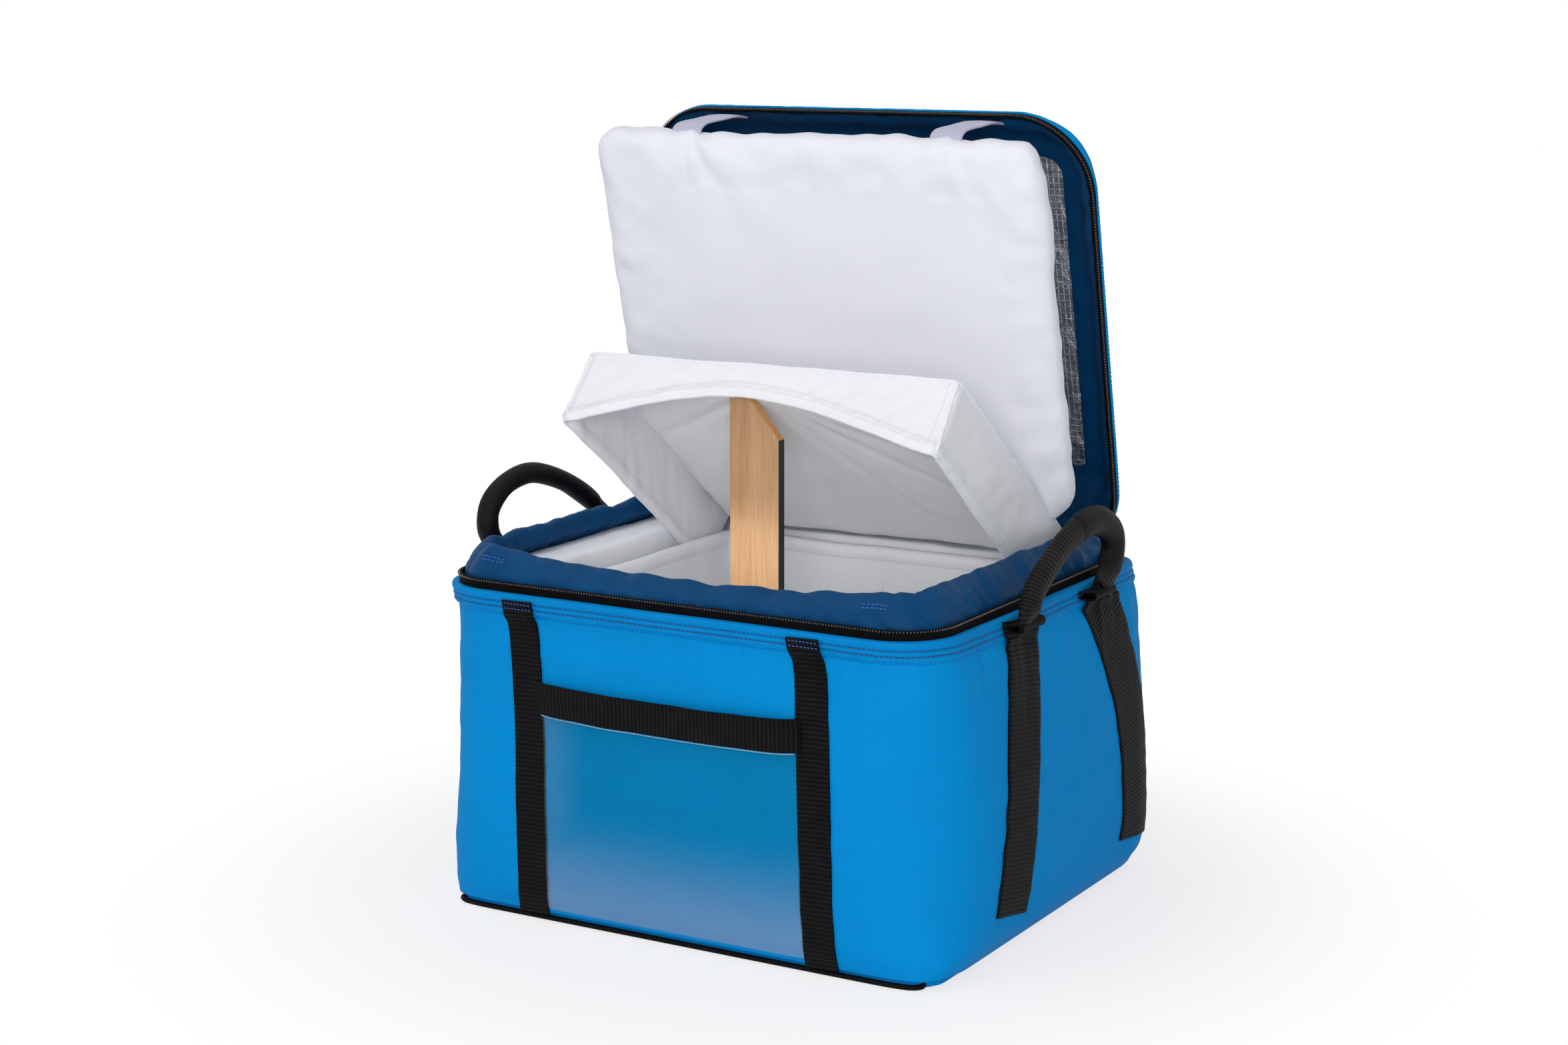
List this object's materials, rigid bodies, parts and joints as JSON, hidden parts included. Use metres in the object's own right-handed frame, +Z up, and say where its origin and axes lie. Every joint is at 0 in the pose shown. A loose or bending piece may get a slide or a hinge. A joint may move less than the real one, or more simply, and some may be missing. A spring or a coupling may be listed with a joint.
{
  "type": "vaccine carrier",
  "caption": "Soft insulated carrier with a zipped rear-hinged lid, a hanging lid pad, a lidded payload box on a prop stick, a window pocket and two side handles.",
  "frame": {"origin": "middle of the base, on the ground", "axes": "+Z up, -Y the front with the window pocket, +X the user's right; both lids hinge along X at the rear"},
  "size_m": [0.531, 0.468, 0.6841],
  "materials": {
    "shell_cloth": "coated woven polyester",
    "base_cloth": "heavy coated cloth",
    "foot_piping": "woven piping",
    "hem_cloth": "coated woven polyester, stitched",
    "hinge_cloth": "coated nylon",
    "navy_lining": "coated nylon over soft foam",
    "zip_tape": "woven tape",
    "zip_coil": "nylon coil",
    "webbing": "ribbed woven webbing",
    "loop_webbing": "woven webbing",
    "foil": "scrim-reinforced laminated foil",
    "insulation_cloth": "coated cloth over foam",
    "pad_cloth": "soft brushed nylon over foam",
    "payload_lid_cloth": "creased coated cloth over foam",
    "payload_box_cloth": "coated cloth over board",
    "stick_plywood": "plywood with a dark edge band",
    "lid_foam": "closed-cell foam",
    "clear_film": "clear vinyl film",
    "slider_metal": "black die-cast zinc",
    "pull_metal": "black die-cast zinc"
  },
  "bodies": {
    "bag": {"base_panel": "base_cloth", "tub_wall": "shell_cloth", "foot_piping": "foot_piping", "hem_band": "hem_cloth", "body_zip_tape": "zip_tape", "body_zip_coil": "zip_coil", "hinge_roll": "hinge_cloth", "rim_collar": "navy_lining", "foil_liner": "foil", "floor_pad": "insulation_cloth", "left_pad": "insulation_cloth", "right_pad": "insulation_cloth", "front_pad": "insulation_cloth", "rear_pad": "insulation_cloth", "payload_box": "payload_box_cloth", "prop_stick": "stick_plywood", "strap_left": "webbing", "strap_right": "webbing", "window_pocket": "clear_film", "pocket_band": "webbing", "leg_left_front": "webbing", "leg_left_rear": "webbing", "leg_right_front": "webbing", "leg_right_rear": "webbing", "fold_left_front": "webbing", "fold_left_rear": "webbing", "fold_right_front": "webbing", "fold_right_rear": "webbing"},
    "outer_lid": {"lid_shell": "shell_cloth", "lid_foam": "lid_foam", "lid_foil": "foil", "lid_ring": "navy_lining", "lid_zip_tape": "zip_tape", "lid_zip_coil": "zip_coil"},
    "hanging_pad": {"lid_pad": "pad_cloth", "loop_left": "loop_webbing", "loop_right": "loop_webbing"},
    "inner_lid": {"inner_lid_panel": "payload_lid_cloth", "inner_lid_skirt": "payload_lid_cloth"},
    "handle_left": {"grip_left": "webbing"},
    "handle_right": {"grip_right": "webbing"},
    "zip_left": {"slider_left": "slider_metal"},
    "zip_right": {"slider_right": "slider_metal"},
    "tab_left": {"pull_left": "pull_metal"},
    "tab_right": {"pull_right": "pull_metal"}
  },
  "joints": [
    {"name": "lid_hinge", "type": "hinge", "parent": "bag", "child": "outer_lid", "pos_m": [0, 0.199, 0.293], "axis": [1, 0, 0], "range_deg": [0, 75.5]},
    {"name": "inner_lid_hinge", "type": "hinge", "parent": "bag", "child": "inner_lid", "pos_m": [0, 0.148, 0.278], "axis": [1, 0, 0], "range_deg": [0, 37.5], "deforming": ["prop_stick"]},
    {"name": "pad_slide", "type": "slide", "parent": "outer_lid", "child": "hanging_pad", "axis": [0, 0.9681, 0.2504], "range_m": [0, 0.0965], "deforming": ["loop_left", "loop_right"]},
    {"name": "handle_left_swing", "type": "hinge", "parent": "bag", "child": "handle_left", "pos_m": [-0.2555, 0.033, 0.2725], "axis": [0, -1, 0], "range_deg": [0, 165]},
    {"name": "handle_right_swing", "type": "hinge", "parent": "bag", "child": "handle_right", "pos_m": [0.2555, 0.033, 0.2725], "axis": [0, 1, 0], "range_deg": [0, 165]},
    {"name": "zip_left_slide", "type": "slide", "parent": "bag", "child": "zip_left", "axis": [0, -1, 0], "range_m": [0, 0.29]},
    {"name": "zip_right_slide", "type": "slide", "parent": "bag", "child": "zip_right", "axis": [0, -1, 0], "range_m": [0, 0.29]},
    {"name": "tab_left_swing", "type": "hinge", "parent": "zip_left", "child": "tab_left", "pos_m": [-0.2424, 0.145, 0.293], "axis": [0, 1, 0], "range_deg": [0, 150]},
    {"name": "tab_right_swing", "type": "hinge", "parent": "zip_right", "child": "tab_right", "pos_m": [0.2424, 0.145, 0.293], "axis": [0, -1, 0], "range_deg": [0, 150]}
  ],
  "couplings": [
    {"joint": "inner_lid_hinge", "follows": "lid_hinge", "ratio": 0.49668},
    {"joint": "pad_slide", "follows": "lid_hinge", "m_per_rad": 0.07323}
  ]
}
